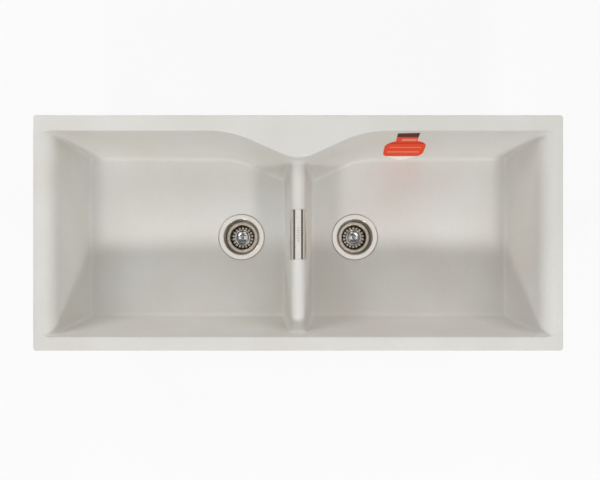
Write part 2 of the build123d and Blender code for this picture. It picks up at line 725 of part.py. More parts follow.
def at_lugs(piece):
    """A piece placed at both of the collector's screw lugs."""
    return [Pos(0, DRAIN_Y + y, 0) * piece for y in (-LUG_Y, LUG_Y)]


def overflow_collector():
    """Moulded box in the divider's hollow, open to both slots, with a spigot underneath."""
    wall = COLLECTOR_WALL
    box = hollow_block(GASKET, COLLECTOR_TOP, COLLECTOR_FOOT, COLLECTOR_LENGTH)
    box += at_lugs(rod(LUG_R, LUG_FOOT, LUG_TOP))
    lug_height = LUG_TOP - LUG_FOOT
    necks = Box(2 * LUG_R, 2 * LUG_Y, lug_height) - Box(2 * LUG_R, COLLECTOR_LENGTH - wall, lug_height)
    box += Pos(0, DRAIN_Y, LUG_FOOT + lug_height / 2) * necks
    box += Pos(0, DRAIN_Y, 0) * rod(SPIGOT_R, COLLECTOR_FOOT - SPIGOT_LENGTH, COLLECTOR_FOOT + wall)
    room_length = COLLECTOR_LENGTH - 2 * wall
    box -= hollow_block(GASKET + wall, COLLECTOR_TOP - wall, COLLECTOR_FOOT + wall, room_length)
    box -= Pos(0, DRAIN_Y, 0) * rod(SPIGOT_BORE_R, COLLECTOR_FOOT - 2 * SPIGOT_LENGTH, COLLECTOR_FOOT + wall)
    box -= at_lugs(rod(LUG_SCREW_R + SCREW_CLEARANCE, 2 * LUG_FOOT, LUG_TOP))
    return box - overflow_window()


def overflow_gaskets():
    """Soft rubber frames round the collector's two windows."""
    high = OVERFLOW_TOP + GASKET_BORDER
    low = OVERFLOW_FOOT - GASKET_BORDER
    length = OVERFLOW_LENGTH + 2 * GASKET_BORDER
    frames = hollow_block(0, high, low, length) - hollow_block(GASKET, high, low, 2 * length)
    return frames - overflow_window()


def collector_screws():
    """Two screws up through the lugs into the divider's top."""
    tip = CREST_Z + HOLLOW_R + LUG_SCREW_BITE - SEAT_GAP
    screw = rod(LUG_SCREW_R, LUG_FOOT, tip)
    screw += rod(LUG_SCREW_HEAD_R, LUG_FOOT - LUG_SCREW_R, LUG_FOOT)
    return Compound(children=at_lugs(screw))


def overflow_pipe():
    """Rigid bent pipe from the collector's spigot to the left waste's inlet."""
    end_x = INLET_END - PIPE_INSERTION - DRAIN_X
    path = FilletPolyline((0, 0, PIPE_TOP), (0, 0, INLET_Z), (end_x, 0, INLET_Z), radius=PIPE_BEND_R)
    start = Plane(path @ 0, z_dir=path % 0)
    pipe = sweep(start * Circle(PIPE_R), path) - sweep(start * Circle(PIPE_BORE_R), path)
    return Pos(0, DRAIN_Y, 0) * pipe


def overflow_pipe_seal():
    """Rubber sleeve between the pipe and the inlet's bore."""
    inner = PIPE_R + SLIP
    return at_inlet(ring(inner, inner + PIPE_SEAL_WALL, INLET_END - PIPE_SEAL, INLET_END), 1)


def union_cap(hole_r):
    """Gripped screw cap for an overflow inlet, with a hole of the given radius or closed at zero."""
    bore_r = INLET_R + SLIP
    outer_r = INLET_R + UNION_WALL
    low = INLET_END + UNION_END - UNION_LENGTH
    high = INLET_END + UNION_END
    cap = rod(outer_r, low, high) - rod(bore_r, low, INLET_END + SLIP)
    cap -= PolarLocations(outer_r, UNION_GRIPS) * rod(UNION_GRIP_R, low, high)
    if hole_r > 0:
        cap -= rod(hole_r, low, 2 * high)
    return cap


def clamp_insert():
    """Brass thread insert in the rim's underside."""
    return ring(STUD_R + THREAD_CLEARANCE, CLAMP_INSERT_R, 0, CLAMP_INSERT)


def clamp_stud():
    """Threaded stud that hangs from an insert."""
    return rod(STUD_R, STUD_END, CLAMP_INSERT)


def clamp_arm(side):
    """Pressed steel arm on a stud, with an upturned tip, parked along the tub's wall."""
    low = ARM_TOP - ARM_SHEET
    reach = ARM_LENGTH - ARM_SHEET / 2
    plan = Circle(ARM_WIDTH / 2) + Pos(ARM_LENGTH / 2, 0) * Rectangle(ARM_LENGTH, ARM_WIDTH)
    arm = Pos(0, 0, low) * extrude(plan, amount=ARM_SHEET)
    arm += Pos(reach, 0, low + (ARM_TIP + ARM_SHEET) / 2) * Box(ARM_SHEET, ARM_WIDTH, ARM_TIP + ARM_SHEET)
    arm -= rod(STUD_R + BORE_CLEARANCE, 2 * low, 0)
    return Rot(0, 0, 90 - side * 90) * arm


def clamp_washer():
    """Flat washer under an arm."""
    return ring(STUD_R + BORE_CLEARANCE, STUD_R + WASHER_BORDER, NUT_TOP, WASHER_TOP)


def clamp_nut():
    """Hexagon nut under a washer."""
    low = NUT_TOP - NUT_HEIGHT
    body = Pos(0, 0, low) * extrude(RegularPolygon(NUT_FLATS / 2, 6, major_radius=False), amount=NUT_HEIGHT)
    return body - rod(STUD_R + THREAD_CLEARANCE, 2 * low, 0)


def peel_off_label():
    """Thin label with a grip tab, stuck down the right bowl's back wall to the round at its foot."""
    top = RIM_TOP - LABEL_TOP
    foot = FLOOR_Z + LABEL_FOOT
    height = top - LABEL_TAB - foot
    plan = Pos(0, foot + height / 2) * RectangleRounded(LABEL_WIDTH, height, LABEL_CORNER_R)
    plan += Pos(0, top - LABEL_TAB) * Rectangle(LABEL_TAB_WIDTH, 2 * LABEL_TAB)
    plan = Pos(LABEL_X, top) * Rot(0, 0, LABEL_TILT) * Pos(0, -top) * plan
    space = bowl_space()
    slab = extrude(Plane.XZ * plan, amount=-DEPTH) & space
    return slab - Pos(0, -LABEL_SHEET, LABEL_SHEET) * space


def save(piece, name):
    """Write one piece to its file."""
    export_step(piece, f"parts/{name}.step")


def main():
    os.makedirs("parts", exist_ok=True)
    save(sink_body(), "sink_body")
    save(rim_seal(), "rim_seal")
    save(peel_off_label(), "peel_off_label")

    pieces = {
        "cup": strainer_cup(),
        "flange_seal": flange_seal(),
        "waste_seal": waste_seal(),
        "waste_insert": waste_insert(),
        "centre_screw": centre_screw(),
        "basket": basket(),
        "stopper": stopper(),
        "stem": stem(),
        "stem_clip": stem_clip(),
        "knob": knob(),
    }
    for name, piece in pieces.items():
        for hand, placed in zip(("left", "right"), at_drains(piece)):
            save(placed, f"{hand}_{name}")
    save(Pos(-DRAIN_X, DRAIN_Y, FLANGE_Z) * waste_housing(1), "left_waste")
    save(Pos(DRAIN_X, DRAIN_Y, FLANGE_Z) * waste_housing(-1), "right_waste")

    save(overflow_cover(), "overflow_cover")
    save(overflow_collector(), "overflow_collector")
    save(overflow_gaskets(), "overflow_gaskets")
    save(collector_screws(), "collector_screws")
    save(overflow_pipe(), "overflow_pipe")
    save(overflow_pipe_seal(), "overflow_pipe_seal")
    save(at_inlet(union_cap(PIPE_R + BORE_CLEARANCE), 1), "overflow_pipe_nut")
    save(at_inlet(union_cap(0), -1), "overflow_blanking_cap")

    save(Compound(children=at_studs(clamp_insert())), "clamp_inserts")
    save(Compound(children=at_studs(clamp_stud())), "clamp_studs")
    corners = ("back_left", "back_right", "front_left", "front_right")
    for corner, washer, nut in zip(corners, at_studs(clamp_washer()), at_studs(clamp_nut())):
        save(washer, f"{corner}_washer")
        save(nut, f"{corner}_nut")
    for corner, y in (("back", BACK_STUD_Y), ("front", FRONT_STUD_Y)):
        save(Pos(-CLAMP_X, y, 0) * clamp_arm(1), f"{corner}_left_arm")
        save(Pos(CLAMP_X, y, 0) * clamp_arm(-1), f"{corner}_right_arm")


if __name__ == "__main__":
    main()
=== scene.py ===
import math

import bmesh
import bpy
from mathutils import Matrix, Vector


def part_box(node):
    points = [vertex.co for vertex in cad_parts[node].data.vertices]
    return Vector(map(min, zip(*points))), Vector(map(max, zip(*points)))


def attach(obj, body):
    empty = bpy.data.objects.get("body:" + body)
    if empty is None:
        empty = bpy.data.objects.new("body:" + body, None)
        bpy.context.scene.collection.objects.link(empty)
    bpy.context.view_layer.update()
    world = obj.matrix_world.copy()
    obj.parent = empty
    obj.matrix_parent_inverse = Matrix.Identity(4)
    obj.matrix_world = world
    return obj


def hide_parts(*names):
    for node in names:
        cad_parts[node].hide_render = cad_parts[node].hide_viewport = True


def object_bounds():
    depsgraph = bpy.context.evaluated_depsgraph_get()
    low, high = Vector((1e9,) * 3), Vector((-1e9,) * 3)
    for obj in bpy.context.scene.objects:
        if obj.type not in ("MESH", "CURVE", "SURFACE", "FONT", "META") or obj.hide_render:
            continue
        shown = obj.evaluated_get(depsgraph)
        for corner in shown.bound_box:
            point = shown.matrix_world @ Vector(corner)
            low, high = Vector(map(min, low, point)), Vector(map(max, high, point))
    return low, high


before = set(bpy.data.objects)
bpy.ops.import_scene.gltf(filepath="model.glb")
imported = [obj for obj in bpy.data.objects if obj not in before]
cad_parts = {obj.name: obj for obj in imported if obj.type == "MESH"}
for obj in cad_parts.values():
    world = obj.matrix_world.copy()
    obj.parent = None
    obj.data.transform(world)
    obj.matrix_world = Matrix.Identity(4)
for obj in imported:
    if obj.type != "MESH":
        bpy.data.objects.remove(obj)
cad_low, cad_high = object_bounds()

# Sink body. One moulding of quartz sand bound in acrylic resin, cast in a closed mould and
# left matt. Its rim lies on the worktop, and every other piece is fixed to it.


def srgb(*levels):
    """Linear colour of three screen levels from 0 to 255."""
    shares = [level / 255 for level in levels]
    return (*[s / 12.92 if s < 0.04045 else ((s + 0.055) / 1.055) ** 2.4 for s in shares], 1.0)


def start_material(name):
    """A material with a bare Principled shader: the material, its node tree and the shader."""
    material = bpy.data.materials.new(name)
    material.use_nodes = True
    tree = material.node_tree
    tree.nodes.clear()
    shader = tree.nodes.new("ShaderNodeBsdfPrincipled")
    output = tree.nodes.new("ShaderNodeOutputMaterial")
    tree.links.new(shader.outputs["BSDF"], output.inputs["Surface"])
    return material, tree, shader


def add_node(tree, kind, inputs=None, **settings):
    """A node of a kind, with its settings, and with inputs that are values or sockets to link."""
    node = tree.nodes.new(kind)
    for name, value in settings.items():
        setattr(node, name, value)
    for name, value in (inputs or {}).items():
        if isinstance(value, bpy.types.NodeSocket):
            tree.links.new(value, node.inputs[name])
        else:
            node.inputs[name].default_value = value
    return node


def object_place(tree):
    """The Object coordinate of the shaded point."""
    return add_node(tree, "ShaderNodeTexCoord").outputs["Object"]


def noise(tree, place, scale, detail=2.0):
    """Noise from 0 to 1 with features of about one over scale metres."""
    inputs = {"Vector": place, "Scale": scale, "Detail": detail}
    return add_node(tree, "ShaderNodeTexNoise", inputs).outputs["Fac"]


def ramp(tree, factor, *stops, interpolation="LINEAR"):
    """Colour that runs through stops of a position and a colour."""
    node = add_node(tree, "ShaderNodeValToRGB", {"Fac": factor})
    node.color_ramp.interpolation = interpolation
    points = node.color_ramp.elements
    while len(points) < len(stops):
        points.new(0.5)
    for point, (position, colour) in zip(points, stops):
        point.position = position
        point.color = colour
    return node.outputs["Color"]


def spread(tree, factor, low, high, start=0.0, end=1.0):
    """A factor between start and end spread to the range from low to high."""
    inputs = {"Value": factor, "From Min": start, "From Max": end, "To Min": low, "To Max": high}
    return add_node(tree, "ShaderNodeMapRange", inputs).outputs["Result"]


def tint(tree, colour, other, factor, blend="MULTIPLY"):
    """One colour over another, by a blend and a factor."""
    inputs = {"Fac": factor, "Color1": colour, "Color2": other}
    return add_node(tree, "ShaderNodeMixRGB", inputs, blend_type=blend).outputs["Color"]


def roughen(tree, shader, height, depth, strength=1.0):
    """Bump on the shader from a height of 0 to 1 that stands for a depth in metres."""
    inputs = {"Height": height, "Distance": depth, "Strength": strength}
    tree.links.new(add_node(tree, "ShaderNodeBump", inputs).outputs["Normal"], shader.inputs["Normal"])


def dress(material, *names):
    """The material on these nodes of the frame."""
    for name in names:
        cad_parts[name].data.materials[0] = material


GRANITE = srgb(228, 227, 223)
GRANITE_DARK = srgb(212, 210, 204)
GRANITE_PALE = srgb(236, 235, 232)
GRANITE_CLOUD = srgb(249, 247, 244)
GRANITE_SPECK = srgb(176, 170, 160)
GRAIN = 1300.0
GRAIN_RANGE = (0.3, 0.7)
GRAIN_DEPTH = 0.00006
GRAIN_STRENGTH = 0.4
SPECK = 520.0
SPECK_RADII = (0.1, 0.2)
SPECK_SHARE = 0.55
CLOUD = 5.0
GRANITE_ROUGHNESS = (0.5, 0.66)
GRANITE_SHEEN = 0.35
WHITE = srgb(255, 255, 255)

granite, tree, shader = start_material("granite_composite")
place = object_place(tree)
grain = noise(tree, place, GRAIN)
colour = ramp(tree, grain, (0.3, GRANITE_DARK), (0.5, GRANITE), (0.72, GRANITE_PALE))
cells = add_node(tree, "ShaderNodeTexVoronoi", {"Vector": place, "Scale": SPECK})
specks = spread(tree, cells.outputs["Distance"], SPECK_SHARE, 0.0, *SPECK_RADII)
colour = tint(tree, colour, GRANITE_SPECK, specks, "MIX")
clouds = ramp(tree, noise(tree, place, CLOUD), (0.35, GRANITE_CLOUD), (0.65, WHITE))
colour = tint(tree, colour, clouds, 1.0)
tree.links.new(colour, shader.inputs["Base Color"])
tree.links.new(spread(tree, grain, *GRANITE_ROUGHNESS, *GRAIN_RANGE), shader.inputs["Roughness"])
shader.inputs["Specular IOR Level"].default_value = GRANITE_SHEEN
roughen(tree, shader, noise(tree, place, 2 * GRAIN), GRAIN_DEPTH, GRAIN_STRENGTH)
dress(granite, "sink_body")

# Rim seal. A strip of closed-cell foam glued into the groove under the rim, where the rim's
# weight presses it flat on the worktop.


def start_shape(name, *sizes):
    """A Geometry Nodes tree with named sizes: the tree, its input node and its output node."""
    tree = bpy.data.node_groups.new(name, "GeometryNodeTree")
    tree.interface.new_socket("Geometry", in_out="INPUT", socket_type="NodeSocketGeometry")
    for size in sizes:
        tree.interface.new_socket(size, in_out="INPUT", socket_type="NodeSocketFloat")
    tree.interface.new_socket("Material", in_out="INPUT", socket_type="NodeSocketMaterial")
    tree.interface.new_socket("Geometry", in_out="OUTPUT", socket_type="NodeSocketGeometry")
    return tree, tree.nodes.new("NodeGroupInput"), tree.nodes.new("NodeGroupOutput")


def end_shape(tree, given, result, shape):
    """Realizes what the tree made, gives it the material and sends it out."""
    whole = add_node(tree, "GeometryNodeRealizeInstances", {"Geometry": shape})
    inputs = {"Geometry": whole.outputs["Geometry"], "Material": given.outputs["Material"]}
    painted = add_node(tree, "GeometryNodeSetMaterial", inputs)
    tree.links.new(painted.outputs["Geometry"], result.inputs["Geometry"])


def grow(name, tree, mesh, material, **sizes):
    """A plain mesh object that the tree makes from a mesh with these sizes."""
    seed = bpy.data.objects.new(name, mesh)
    bpy.context.scene.collection.objects.link(seed)
    modifier = seed.modifiers.new("shape", "NODES")
    modifier.node_group = tree
    values = {key.replace("_", " ").title(): value for key, value in sizes.items()}
    values["Material"] = material
    for socket in tree.interface.items_tree:
        if socket.in_out == "INPUT" and socket.name in values:
            modifier[socket.identifier] = values[socket.name]
    scene_graph = bpy.context.evaluated_depsgraph_get()
    made = bpy.data.meshes.new_from_object(seed.evaluated_get(scene_graph))
    seed.modifiers.clear()
    seed.data = made
    made.name = name
    return seed


def smooth(piece, angle):
    """Smooth shading on a piece, with edges sharper than an angle in degrees left sharp."""
    piece.data.shade_smooth()
    piece.data.set_sharp_from_angle(angle=math.radians(angle))


def belongs(piece, body, slot, *nodes):
    """The piece rides on a body and stands for these nodes; the slot is not used."""
    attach(piece, body)
    if nodes:
        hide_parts(*nodes)


FOAM_BLACK = srgb(62, 62, 63)
FOAM_CELL = srgb(30, 30, 31)
FOAM_CELLS = 1600.0
FOAM_PORES = (0.1, 0.6)
FOAM_PORE_DEPTH = 0.0002
FOAM_ROUGHNESS = 0.9
FOAM_WIDTH_SHARE = 3
FOAM_EDGE_R = 0.0007
FOAM_EDGE_STEPS = 4
FOAM_CORNER_R = 0.0045
FOAM_CORNER_STEPS = 8
FOAM_SHARP = 50

foam, tree, shader = start_material("closed_cell_foam")
cells = add_node(tree, "ShaderNodeTexVoronoi", {"Vector": object_place(tree), "Scale": FOAM_CELLS})
pores = spread(tree, cells.outputs["Distance"], 0.0, 1.0, *FOAM_PORES)
tree.links.new(ramp(tree, pores, (0.0, FOAM_CELL), (0.6, FOAM_BLACK)), shader.inputs["Base Color"])
shader.inputs["Roughness"].default_value = FOAM_ROUGHNESS
roughen(tree, shader, pores, FOAM_PORE_DEPTH)

sizes = ("Length", "Depth", "Corner", "Width", "Height", "Edge")
tree, given, result = start_shape("foam_strip", *sizes)
route_inputs = {"Width": given.outputs["Length"], "Height": given.outputs["Depth"]}
route = add_node(tree, "GeometryNodeCurvePrimitiveQuadrilateral", route_inputs)
round_inputs = {"Curve": route.outputs["Curve"], "Count": FOAM_CORNER_STEPS}
round_inputs["Radius"] = given.outputs["Corner"]
route = add_node(tree, "GeometryNodeFilletCurve", round_inputs, mode="POLY")
route = add_node(tree, "GeometryNodeSetCurveNormal", {"Curve": route.outputs["Curve"]}, mode="Z_UP")
band_inputs = {"Width": given.outputs["Width"], "Height": given.outputs["Height"]}
band = add_node(tree, "GeometryNodeCurvePrimitiveQuadrilateral", band_inputs)
edge_inputs = {"Curve": band.outputs["Curve"], "Count": FOAM_EDGE_STEPS}
edge_inputs["Radius"] = given.outputs["Edge"]
band = add_node(tree, "GeometryNodeFilletCurve", edge_inputs, mode="POLY")
strip_inputs = {"Curve": route.outputs["Curve"], "Profile Curve": band.outputs["Curve"]}
strip = add_node(tree, "GeometryNodeCurveToMesh", strip_inputs)
raise_by = add_node(tree, "ShaderNodeMath", {0: given.outputs["Height"], 1: 0.5}, operation="MULTIPLY")
lift = add_node(tree, "ShaderNodeCombineXYZ", {"Z": raise_by.outputs["Value"]})
move_inputs = {"Geometry": strip.outputs["Mesh"], "Translation": lift.outputs["Vector"]}
strip = add_node(tree, "GeometryNodeTransform", move_inputs)
end_shape(tree, given, result, strip.outputs["Geometry"])

seal_low, seal_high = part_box("rim_seal")
seal_height = seal_high.z - seal_low.z
seal_width = FOAM_WIDTH_SHARE * seal_height
foam_strip = grow(
    "foam_strip",
    tree,
    bpy.data.meshes.new("foam_strip"),
    foam,
    length=seal_high.x - seal_low.x - seal_width,
    depth=seal_high.y - seal_low.y - seal_width,
    corner=FOAM_CORNER_R,
    width=seal_width,
    height=seal_height,
    edge=FOAM_EDGE_R,
)
smooth(foam_strip, FOAM_SHARP)
belongs(foam_strip, "sink", "foam", "rim_seal")

# Thread inserts. Turned brass bushes pressed into the rim's underside and into the boss of
# each waste, for the studs and the centre screws.


def upright(tree, *centre):
    """Place of the shaded point from an upright axis, with both halves of the sink folded together."""
    place = add_node(tree, "ShaderNodeSeparateXYZ", {"Vector": object_place(tree)})
    folded = add_node(tree, "ShaderNodeMath", {0: place.outputs["X"]}, operation="ABSOLUTE")
    inputs = {"X": folded.outputs["Value"], "Y": place.outputs["Y"]}
    flat = add_node(tree, "ShaderNodeCombineXYZ", inputs).outputs["Vector"]
    offset = add_node(tree, "ShaderNodeVectorMath", {0: flat, 1: (*centre, 0.0)}, operation="SUBTRACT")
    return offset.outputs["Vector"]


def turned_marks(tree, place, scale):
    """Fine rings round an axis, as a lathe or a polishing wheel leaves them."""
    radius = add_node(tree, "ShaderNodeVectorMath", {0: place}, operation="LENGTH").outputs["Value"]
    inputs = {"W": radius, "Scale": scale, "Detail": 3.0}
    return add_node(tree, "ShaderNodeTexNoise", inputs, noise_dimensions="1D").outputs["Fac"]


BRASS = srgb(205, 166, 96)
BRASS_DULL = srgb(168, 130, 70)
BRASS_TARNISH = 260.0
BRASS_ROUGHNESS = (0.22, 0.42)

brass, tree, shader = start_material("turned_brass")
tarnish = noise(tree, object_place(tree), BRASS_TARNISH, 4.0)
tree.links.new(ramp(tree, tarnish, (0.3, BRASS_DULL), (0.6, BRASS)), shader.inputs["Base Color"])
shader.inputs["Metallic"].default_value = 1.0
tree.links.new(spread(tree, tarnish, *BRASS_ROUGHNESS), shader.inputs["Roughness"])
dress(brass, "clamp_inserts", "left_waste_insert", "right_waste_insert")

# Clamp studs, nuts, washers and arms. Zinc-plated steel: M6 studs screwed into the rim's
# inserts, with a pressed arm on each that a washer and a nut draw up to the worktop.
ZINC = srgb(190, 192, 190)
ZINC_WARM = srgb(186, 182, 168)
ZINC_COOL = srgb(160, 168, 176)
ZINC_SPANGLE = 240.0
ZINC_BLOOM = 900.0
ZINC_ROUGHNESS = (0.26, 0.46)
ZINC_PITS = 1800.0
ZINC_PIT_DEPTH = 0.00003
ZINC_PIT_STRENGTH = 0.3
THREAD_PITCH = 0.001
THREAD_R = 0.00042
THREAD_STEPS = 16
THREAD_SIDES = 6
CORE_SIDES = 32
STUD_SHARP = 40

zinc, tree, shader = start_material("zinc_plate")
place = object_place(tree)
spangle = noise(tree, place, ZINC_SPANGLE, 4.0)
sheen = ramp(tree, spangle, (0.3, ZINC_COOL), (0.5, ZINC), (0.7, ZINC_WARM))
tree.links.new(sheen, shader.inputs["Base Color"])
shader.inputs["Metallic"].default_value = 1.0
bloom = noise(tree, place, ZINC_BLOOM)
tree.links.new(spread(tree, bloom, *ZINC_ROUGHNESS), shader.inputs["Roughness"])
roughen(tree, shader, noise(tree, place, ZINC_PITS), ZINC_PIT_DEPTH, ZINC_PIT_STRENGTH)
clamps = [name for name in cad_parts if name.startswith(("back", "front"))]
dress(zinc, *clamps)

tree, given, result = start_shape("threaded_studs", "Radius", "Length", "Pitch", "Thread")
turn_inputs = {0: given.outputs["Length"], 1: given.outputs["Pitch"]}
turns = add_node(tree, "ShaderNodeMath", turn_inputs, operation="DIVIDE").outputs["Value"]
crest_inputs = {0: given.outputs["Radius"], 1: given.outputs["Thread"]}
crest = add_node(tree, "ShaderNodeMath", crest_inputs, operation="SUBTRACT").outputs["Value"]
helix_inputs = {"Resolution": THREAD_STEPS, "Rotations": turns, "Height": given.outputs["Length"]}
helix_inputs.update({"Start Radius": crest, "End Radius": crest})
helix = add_node(tree, "GeometryNodeCurveSpiral", helix_inputs)
ridge_inputs = {"Resolution": THREAD_SIDES, "Radius": given.outputs["Thread"]}
ridge = add_node(tree, "GeometryNodeCurvePrimitiveCircle", ridge_inputs)
thread_inputs = {"Curve": helix.outputs["Curve"], "Profile Curve": ridge.outputs["Curve"], "Fill Caps": True}
thread = add_node(tree, "GeometryNodeCurveToMesh", thread_inputs)
core_inputs = {"Vertices": CORE_SIDES, "Radius": crest, "Depth": given.outputs["Length"]}
core = add_node(tree, "GeometryNodeMeshCylinder", core_inputs)
half = add_node(tree, "ShaderNodeMath", {0: given.outputs["Length"], 1: 0.5}, operation="MULTIPLY")
lift = add_node(tree, "ShaderNodeCombineXYZ", {"Z": half.outputs["Value"]})
core_inputs = {"Geometry": core.outputs["Mesh"], "Translation": lift.outputs["Vector"]}
core = add_node(tree, "GeometryNodeTransform", core_inputs)
stud = add_node(tree, "GeometryNodeJoinGeometry")
tree.links.new(thread.outputs["Mesh"], stud.inputs["Geometry"])
tree.links.new(core.outputs["Geometry"], stud.inputs["Geometry"])
points_inputs = {"Points": given.outputs["Geometry"], "Instance": stud.outputs["Geometry"]}
studs = add_node(tree, "GeometryNodeInstanceOnPoints", points_inputs)
end_shape(tree, given, result, studs.outputs["Instances"])

stud_low, stud_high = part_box("clamp_studs")
feet = bpy.data.meshes.new("stud_feet")
nut_boxes = [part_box(name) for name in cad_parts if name.endswith(("left_nut", "right_nut"))]
nut_middles = [(low + high) / 2 for low, high in nut_boxes]
feet.from_pydata([(middle.x, middle.y, stud_low.z) for middle in nut_middles], [], [])
stud_radius = stud_high.x - max(middle.x for middle in nut_middles)
threaded_studs = grow(
    "threaded_studs",
    tree,
    feet,
    zinc,
    radius=stud_radius,
    length=stud_high.z - stud_low.z,
    pitch=THREAD_PITCH,
    thread=THREAD_R,
)
smooth(threaded_studs, STUD_SHARP)
belongs(threaded_studs, "sink", "zinc_steel", "clamp_studs")

# Rubber seals. Black moulded rings above and below each drain hole, frames at the overflow
# windows, a sleeve on the overflow pipe and the stoppers under the baskets.
RUBBER = srgb(38, 38, 39)
RUBBER_BLOOM = srgb(58, 57, 56)
RUBBER_CLOUD = 90.0
RUBBER_ROUGHNESS = (0.55, 0.75)
RUBBER_GRAIN = 1500.0
RUBBER_GRAIN_DEPTH = 0.00004
RUBBER_GRAIN_STRENGTH = 0.5

rubber, tree, shader = start_material("moulded_rubber")
place = object_place(tree)
bloom = noise(tree, place, RUBBER_CLOUD, 4.0)
tree.links.new(ramp(tree, bloom, (0.4, RUBBER), (0.75, RUBBER_BLOOM)), shader.inputs["Base Color"])
tree.links.new(spread(tree, bloom, *RUBBER_ROUGHNESS), shader.inputs["Roughness"])
roughen(tree, shader, noise(tree, place, RUBBER_GRAIN), RUBBER_GRAIN_DEPTH, RUBBER_GRAIN_STRENGTH)
seals = [f"{hand}_{ring}" for hand in ("left", "right") for ring in ("flange_seal", "waste_seal", "stopper")]
dress(rubber, *seals, "overflow_gaskets", "overflow_pipe_seal")

# Strainer cups. Deep-drawn stainless steel with a wide polished flange, seated in the floor
# of each bowl on a rubber ring and drawn down by the centre screw.
STEEL = srgb(236, 231, 224)
STEEL_SHADE = srgb(216, 209, 200)
# Painted shade: below the flange the cups are painted a mid tone on the bevel and a dark tone deeper in, for
# the shade and dark reflections inside the cup.
CUP_PAINTED_SHADE = srgb(128, 119, 106)
BEVEL_PAINTED_SHADE = srgb(188, 178, 164)
FLANGE_FALL = 0.001
BEVEL_FALL = 0.009
STEEL_MARKS = 1600.0
STEEL_MARK_DEPTH = 0.000012
STEEL_MARK_STRENGTH = 0.5
STEEL_ROUGHNESS = (0.16, 0.3)
cup_low, cup_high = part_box("right_cup")
DRAIN_X = (cup_low.x + cup_high.x) / 2
DRAIN_Y = (cup_low.y + cup_high.y) / 2

polished, tree, shader = start_material("polished_steel")
marks = turned_marks(tree, upright(tree, DRAIN_X, DRAIN_Y), STEEL_MARKS)
height = add_node(tree, "ShaderNodeSeparateXYZ", {"Vector": object_place(tree)}).outputs["Z"]
# Painted shade by height: the bevel tone from just below the flange top, and the dark tone deeper in the
# cup.
bevel_shade = spread(tree, height, 0.0, 1.0, cup_high.z - FLANGE_FALL / 2, cup_high.z - FLANGE_FALL)
cup_shade = spread(tree, height, 0.0, 1.0, cup_high.z - BEVEL_FALL / 2, cup_high.z - BEVEL_FALL)
colour = tint(tree, ramp(tree, marks, (0.3, STEEL_SHADE), (0.6, STEEL)), BEVEL_PAINTED_SHADE, bevel_shade, "MIX")
colour = tint(tree, colour, CUP_PAINTED_SHADE, cup_shade, "MIX")
tree.links.new(colour, shader.inputs["Base Color"])
shader.inputs["Metallic"].default_value = 1.0
tree.links.new(spread(tree, marks, *STEEL_ROUGHNESS), shader.inputs["Roughness"])
roughen(tree, shader, marks, STEEL_MARK_DEPTH, STEEL_MARK_STRENGTH)
dress(polished, "left_cup", "right_cup")

# Wastes. Polypropylene housings under the floor, each drawn up to its cup by a centre screw,
# with a threaded outlet for the trap and an inlet for the overflow.
WHITE_PLASTIC = srgb(228, 227, 222)
WHITE_PLASTIC_SHADE = srgb(214, 212, 205)
WHITE_PLASTIC_FLOW = 24.0
WHITE_PLASTIC_ROUGHNESS = (0.34, 0.5)
WHITE_PLASTIC_GRAIN = 700.0
WHITE_PLASTIC_GRAIN_DEPTH = 0.00004
WHITE_PLASTIC_GRAIN_STRENGTH = 0.3
MILKINESS = 0.1
MILK_DEPTHS = (0.002, 0.002, 0.0015)

white_plastic, tree, shader = start_material("white_polypropylene")
place = object_place(tree)
flow = noise(tree, place, WHITE_PLASTIC_FLOW, 3.0)
flow_colour = ramp(tree, flow, (0.35, WHITE_PLASTIC_SHADE), (0.6, WHITE_PLASTIC))
tree.links.new(flow_colour, shader.inputs["Base Color"])
tree.links.new(spread(tree, flow, *WHITE_PLASTIC_ROUGHNESS), shader.inputs["Roughness"])
shader.inputs["Subsurface Weight"].default_value = MILKINESS
shader.inputs["Subsurface Radius"].default_value = MILK_DEPTHS
grain = noise(tree, place, WHITE_PLASTIC_GRAIN)
roughen(tree, shader, grain, WHITE_PLASTIC_GRAIN_DEPTH, WHITE_PLASTIC_GRAIN_STRENGTH)
dress(white_plastic, "left_waste", "right_waste", "overflow_pipe")
dress(zinc, "left_centre_screw", "right_centre_screw")

# Lift-out baskets. Satin stainless pressings with slots round the floor, each on a turned
# stem with a spring clip, so that basket, stopper and knob lift out in one piece.
SATIN = srgb(226, 218, 206)
SATIN_SHADE = srgb(186, 177, 163)
SATIN_MARKS = 1100.0
SATIN_MARK_DEPTH = 0.00002
SATIN_MARK_STRENGTH = 0.5
SATIN_ROUGHNESS = (0.26, 0.42)
STAIN = srgb(225, 216, 202)
STAIN_CLOUD = 130.0

satin, tree, shader = start_material("satin_steel")
marks = turned_marks(tree, upright(tree, DRAIN_X, DRAIN_Y), SATIN_MARKS)
stain = noise(tree, object_place(tree), STAIN_CLOUD, 4.0)
colour = ramp(tree, marks, (0.3, SATIN_SHADE), (0.65, SATIN))
colour = tint(tree, colour, ramp(tree, stain, (0.3, STAIN), (0.6, WHITE)), 1.0)
tree.links.new(colour, shader.inputs["Base Color"])
shader.inputs["Metallic"].default_value = 1.0
tree.links.new(spread(tree, marks, *SATIN_ROUGHNESS), shader.inputs["Roughness"])
roughen(tree, shader, marks, SATIN_MARK_DEPTH, SATIN_MARK_STRENGTH)
dress(satin, "left_basket", "right_basket")
dress(zinc, "left_stem", "right_stem", "left_stem_clip", "right_stem_clip")

# Knobs. Turned brass under bright chrome, pressed on the baskets' stems, with a raised rim
# for the fingers round a shallow dome with a dimple.
CHROME = srgb(226, 226, 228)
CHROME_SMEAR = srgb(206, 206, 209)
SMEAR_CLOUD = 160.0
CHROME_ROUGHNESS = (0.05, 0.16)

